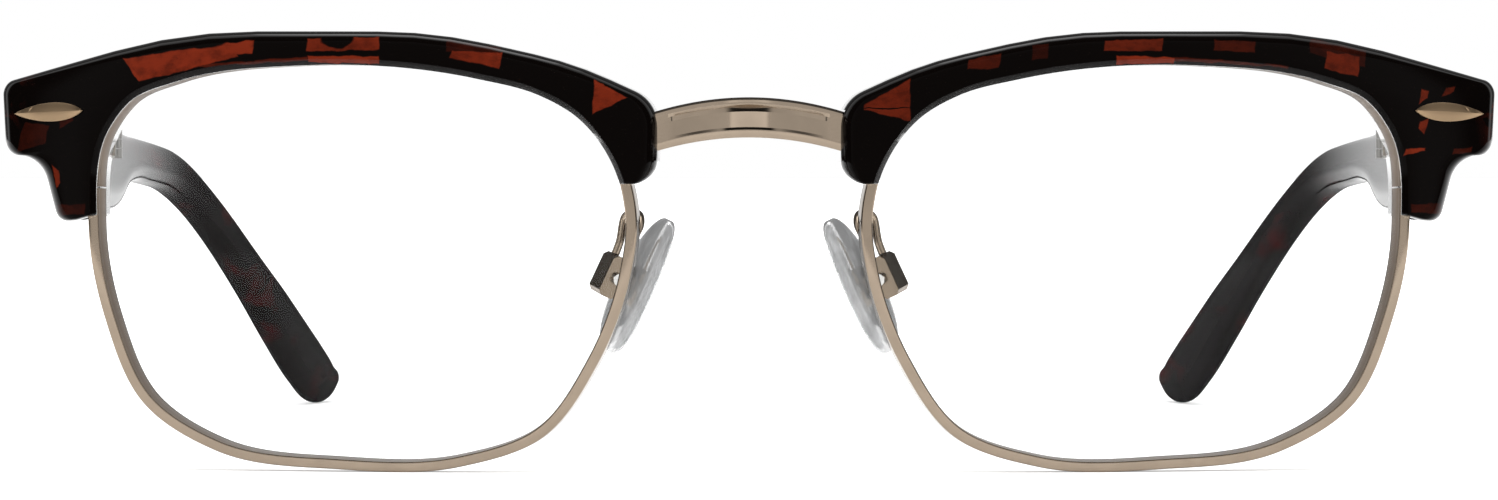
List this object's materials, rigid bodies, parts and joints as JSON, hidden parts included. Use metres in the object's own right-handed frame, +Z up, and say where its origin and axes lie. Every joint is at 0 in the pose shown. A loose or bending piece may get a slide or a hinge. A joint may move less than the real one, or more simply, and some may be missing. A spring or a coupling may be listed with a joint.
{
  "type": "browline glasses",
  "caption": "Browline glasses with tortoise brow caps and temples on pale gold rims, clear lenses, adjustable nose pads and hinged temples that fold flat.",
  "frame": {"origin": "Middle of the overall box at its base, on the surface where the rims and the temple tips stand", "axes": "+Z up, the fronts of the lenses face -Y, the temples run to +Y, +X is the wearer's left"},
  "size_m": [0.1416, 0.1424, 0.0412],
  "materials": {
    "rim_metal": "polished pale gold plating",
    "hinge_metal": "satin pale gold plating",
    "leaf_metal": "polished pale gold",
    "screw_steel": "turned steel",
    "core_steel": "rolled steel",
    "pad_plate": "stamped steel",
    "cap_acetate": "polished tortoise acetate",
    "temple_acetate": "polished tortoise acetate",
    "lens": "clear polished lens",
    "pad_clear": "clear soft silicone"
  },
  "bodies": {
    "front": {"bridge": "rim_metal", "eyewire_right": "rim_metal", "eyewire_left": "rim_metal", "lens_right": "lens", "lens_left": "lens", "brow_cap_right": "cap_acetate", "brow_cap_left": "cap_acetate", "leaf_rivet_right": "leaf_metal", "leaf_rivet_left": "leaf_metal", "rim_block_upper_right": "rim_metal", "rim_block_upper_left": "rim_metal", "rim_block_lower_right": "rim_metal", "rim_block_lower_left": "rim_metal", "rim_screw_right": "screw_steel", "rim_screw_left": "screw_steel", "cap_screw_right": "screw_steel", "cap_screw_left": "screw_steel", "front_hinge_right": "hinge_metal", "front_hinge_left": "hinge_metal", "hinge_screw_right": "screw_steel", "hinge_screw_left": "screw_steel", "pad_arm_right": "rim_metal", "pad_arm_left": "rim_metal", "pad_box_right": "rim_metal", "pad_box_left": "rim_metal", "pad_screw_right": "screw_steel", "pad_screw_left": "screw_steel"},
    "temple_left": {"temple_left": "temple_acetate", "temple_hinge_left": "hinge_metal", "temple_core_left": "core_steel"},
    "temple_right": {"temple_right": "temple_acetate", "temple_hinge_right": "hinge_metal", "temple_core_right": "core_steel"},
    "pad_left": {"nose_pad_left": "pad_clear", "pad_insert_left": "pad_plate"},
    "pad_right": {"nose_pad_right": "pad_clear", "pad_insert_right": "pad_plate"}
  },
  "joints": [
    {"name": "temple_left_fold", "type": "hinge", "parent": "front", "child": "temple_left", "pos_m": [0.06121, -0.05552, 0.03163], "axis": [0, 0, 1], "range_deg": [0, 86]},
    {"name": "temple_right_fold", "type": "hinge", "parent": "front", "child": "temple_right", "pos_m": [-0.06121, -0.05552, 0.03163], "axis": [0, 0, -1], "range_deg": [0, 81]},
    {"name": "pad_left_rock", "type": "hinge", "parent": "front", "child": "pad_left", "pos_m": [0.01286, -0.06363, 0.01818], "axis": [0.383, 0.9063, 0.1786], "range_deg": [-7, 7]},
    {"name": "pad_right_rock", "type": "hinge", "parent": "front", "child": "pad_right", "pos_m": [-0.01286, -0.06363, 0.01818], "axis": [-0.383, 0.9063, 0.1786], "range_deg": [-7, 7]}
  ]
}
